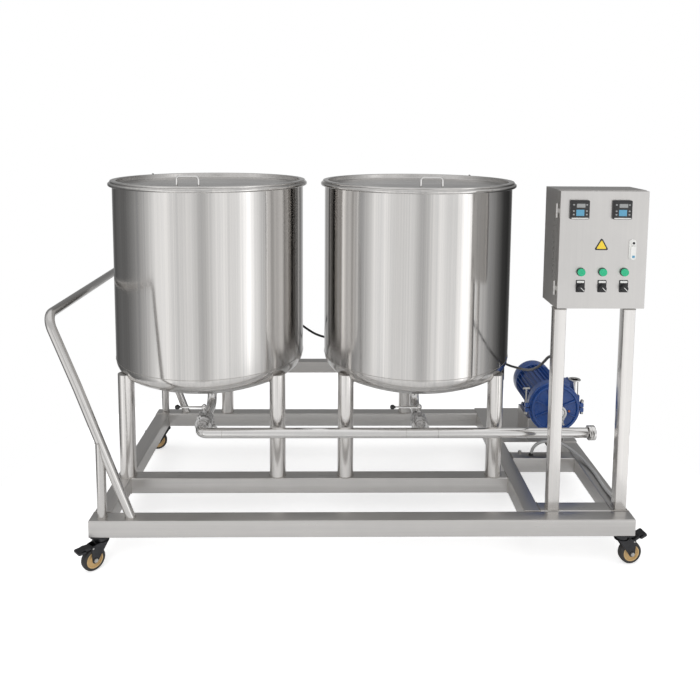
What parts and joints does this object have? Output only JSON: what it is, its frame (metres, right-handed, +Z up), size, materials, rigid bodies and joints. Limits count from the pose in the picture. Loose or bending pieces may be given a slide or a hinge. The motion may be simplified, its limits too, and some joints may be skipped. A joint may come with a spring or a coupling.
{
  "type": "clean in place unit",
  "caption": "Castored stainless trolley with round dished tanks under pan lids, outlet valves, a shared pipe, a pump and a control cabinet.",
  "frame": {"origin": "middle of the whole unit's box, on the floor", "axes": "+X from the push handle to the pump and cabinet, +Y from the front to the back, +Z up"},
  "size_m": [2.07, 1.0234, 1.3373],
  "materials": {
    "satin_steel": "satin ground stainless steel tube",
    "tank_steel": "brushed stainless sheet, grain along the wall",
    "polished_steel": "polished sanitary stainless steel",
    "zinc_steel": "zinc plated steel",
    "black_steel": "black painted pressed steel",
    "blue_paint": "gloss blue machine paint",
    "black_plastic": "moulded black plastic",
    "white_plastic": "moulded white plastic",
    "green_lens": "clear green lens in a plastic bezel",
    "tyre_rubber": "dark rubber tread on a tan hub",
    "black_rubber": "black cable sheath",
    "white_rubber": "white sealing rubber",
    "grey_plastic": "ribbed grey flexible conduit"
  },
  "bodies": {
    "frame": {"front_rail": "satin_steel", "rear_rail": "satin_steel", "left_side_rail": "satin_steel", "right_side_rail": "satin_steel", "inner_rails": "satin_steel", "control_posts": "satin_steel", "tank_legs": "satin_steel", "rear_beam": "satin_steel", "left_tank": "tank_steel", "left_tank_head": "tank_steel", "right_tank": "tank_steel", "right_tank_head": "tank_steel", "tank_ports": "polished_steel", "blank_caps": "polished_steel", "clamps": "polished_steel", "gaskets": "white_rubber", "valve_bodies": "polished_steel", "manifold": "polished_steel", "manifold_cap": "polished_steel", "push_handle": "tank_steel", "pump_stand": "blue_paint", "pump_casing": "blue_paint", "pump_cover": "blue_paint", "casing_band": "blue_paint", "discharge_pipe": "polished_steel", "motor_body": "blue_paint", "fan_cowl": "blue_paint", "terminal_box": "blue_paint", "caster_plates": "zinc_steel", "cabinet": "satin_steel", "switchgear": "white_plastic", "probe_lead": "black_rubber", "conduit": "grey_plastic", "cable_fittings": "black_plastic"},
    "left_lid": {"left_lid": "tank_steel"},
    "right_lid": {"right_lid": "tank_steel"},
    "left_valve": {"left_valve_lever": "polished_steel"},
    "right_valve": {"right_valve_lever": "polished_steel"},
    "pump_shaft": {"pump_rotor": "zinc_steel", "cooling_fan": "black_plastic"},
    "door": {"door": "satin_steel", "temperature_controllers": "black_plastic", "pilot_lamps": "green_lens", "door_plates": "black_plastic"},
    "latch": {"door_latch": "white_plastic"},
    "selector_1": {"selector_1": "black_plastic"},
    "selector_2": {"selector_2": "black_plastic"},
    "selector_3": {"selector_3": "black_plastic"},
    "front_left_swivel": {"front_left_fork": "black_steel"},
    "front_left_wheel": {"front_left_wheel": "tyre_rubber"},
    "front_left_pedal": {"front_left_pedal": "black_plastic"},
    "front_right_swivel": {"front_right_fork": "black_steel"},
    "front_right_wheel": {"front_right_wheel": "tyre_rubber"},
    "front_right_pedal": {"front_right_pedal": "black_plastic"},
    "rear_left_swivel": {"rear_left_fork": "black_steel"},
    "rear_left_wheel": {"rear_left_wheel": "tyre_rubber"},
    "rear_left_pedal": {"rear_left_pedal": "black_plastic"},
    "rear_right_swivel": {"rear_right_fork": "black_steel"},
    "rear_right_wheel": {"rear_right_wheel": "tyre_rubber"},
    "rear_right_pedal": {"rear_right_pedal": "black_plastic"}
  },
  "joints": [
    {"name": "front_left_swivel_turn", "type": "hinge", "parent": "frame", "child": "front_left_swivel", "pos_m": [-0.85701, -0.43329, 0.091], "axis": [0, 0, 1], "continuous": true},
    {"name": "front_left_wheel_spin", "type": "hinge", "parent": "front_left_swivel", "child": "front_left_wheel", "pos_m": [-0.87993, -0.45703, 0.04], "axis": [0.7193, -0.6947, 0], "continuous": true},
    {"name": "front_left_pedal_press", "type": "hinge", "parent": "front_left_swivel", "child": "front_left_pedal", "pos_m": [-0.88479, -0.46206, 0.084], "axis": [0.7193, -0.6947, 0], "range_deg": [0, 12]},
    {"name": "front_right_swivel_turn", "type": "hinge", "parent": "frame", "child": "front_right_swivel", "pos_m": [0.94299, -0.43329, 0.091], "axis": [0, 0, 1], "continuous": true},
    {"name": "front_right_wheel_spin", "type": "hinge", "parent": "front_right_swivel", "child": "front_right_wheel", "pos_m": [0.97549, -0.42756, 0.04], "axis": [-0.1736, 0.9848, 0], "continuous": true},
    {"name": "front_right_pedal_press", "type": "hinge", "parent": "front_right_swivel", "child": "front_right_pedal", "pos_m": [0.98239, -0.42634, 0.084], "axis": [-0.1736, 0.9848, 0], "range_deg": [0, 38]},
    {"name": "rear_left_swivel_turn", "type": "hinge", "parent": "frame", "child": "rear_left_swivel", "pos_m": [-0.85701, 0.48171, 0.091], "axis": [0, 0, 1], "continuous": true},
    {"name": "rear_left_wheel_spin", "type": "hinge", "parent": "rear_left_swivel", "child": "rear_left_wheel", "pos_m": [-0.88802, 0.47042, 0.04], "axis": [0.342, -0.9397, 0], "continuous": true},
    {"name": "rear_left_pedal_press", "type": "hinge", "parent": "rear_left_swivel", "child": "rear_left_pedal", "pos_m": [-0.89459, 0.46803, 0.084], "axis": [0.342, -0.9397, 0], "range_deg": [0, 12]},
    {"name": "rear_right_swivel_turn", "type": "hinge", "parent": "frame", "child": "rear_right_swivel", "pos_m": [0.94299, 0.48171, 0.091], "axis": [0, 0, 1], "continuous": true},
    {"name": "rear_right_wheel_spin", "type": "hinge", "parent": "rear_right_swivel", "child": "rear_right_wheel", "pos_m": [0.974, 0.47042, 0.04], "axis": [0.342, 0.9397, 0], "continuous": true},
    {"name": "rear_right_pedal_press", "type": "hinge", "parent": "rear_right_swivel", "child": "rear_right_pedal", "pos_m": [0.98058, 0.46803, 0.084], "axis": [0.342, 0.9397, 0], "range_deg": [0, 12]},
    {"name": "left_valve_turn", "type": "hinge", "parent": "frame", "child": "left_valve", "pos_m": [-0.56301, -0.09829, 0.371], "axis": [0, 0, 1], "range_deg": [0, 90]},
    {"name": "left_lid_lift", "type": "slide", "parent": "frame", "child": "left_lid", "axis": [0, 0, 1], "range_m": [0, 0.5]},
    {"name": "right_valve_turn", "type": "hinge", "parent": "frame", "child": "right_valve", "pos_m": [0.26899, -0.09829, 0.371], "axis": [0, 0, 1], "range_deg": [0, 90]},
    {"name": "right_lid_lift", "type": "slide", "parent": "frame", "child": "right_lid", "axis": [0, 0, 1], "range_m": [0, 0.5]},
    {"name": "door_swing", "type": "hinge", "parent": "frame", "child": "door", "pos_m": [0.69199, -0.38004, 0.898], "axis": [0, 0, 1], "range_deg": [-120, 0]},
    {"name": "latch_turn", "type": "hinge", "parent": "door", "child": "latch", "pos_m": [0.94699, -0.40129, 1.0825], "axis": [0, 1, 0], "range_deg": [0, 90]},
    {"name": "selector_1_turn", "type": "hinge", "parent": "door", "child": "selector_1", "pos_m": [0.77399, -0.40129, 0.972], "axis": [0, 1, 0], "range_deg": [0, 90]},
    {"name": "selector_2_turn", "type": "hinge", "parent": "door", "child": "selector_2", "pos_m": [0.84799, -0.40129, 0.972], "axis": [0, 1, 0], "range_deg": [0, 90]},
    {"name": "selector_3_turn", "type": "hinge", "parent": "door", "child": "selector_3", "pos_m": [0.92199, -0.40129, 0.972], "axis": [0, 1, 0], "range_deg": [0, 90]},
    {"name": "pump_shaft_spin", "type": "hinge", "parent": "frame", "child": "pump_shaft", "pos_m": [0.84899, 0.07271, 0.362], "axis": [0, 1, 0], "continuous": true}
  ]
}
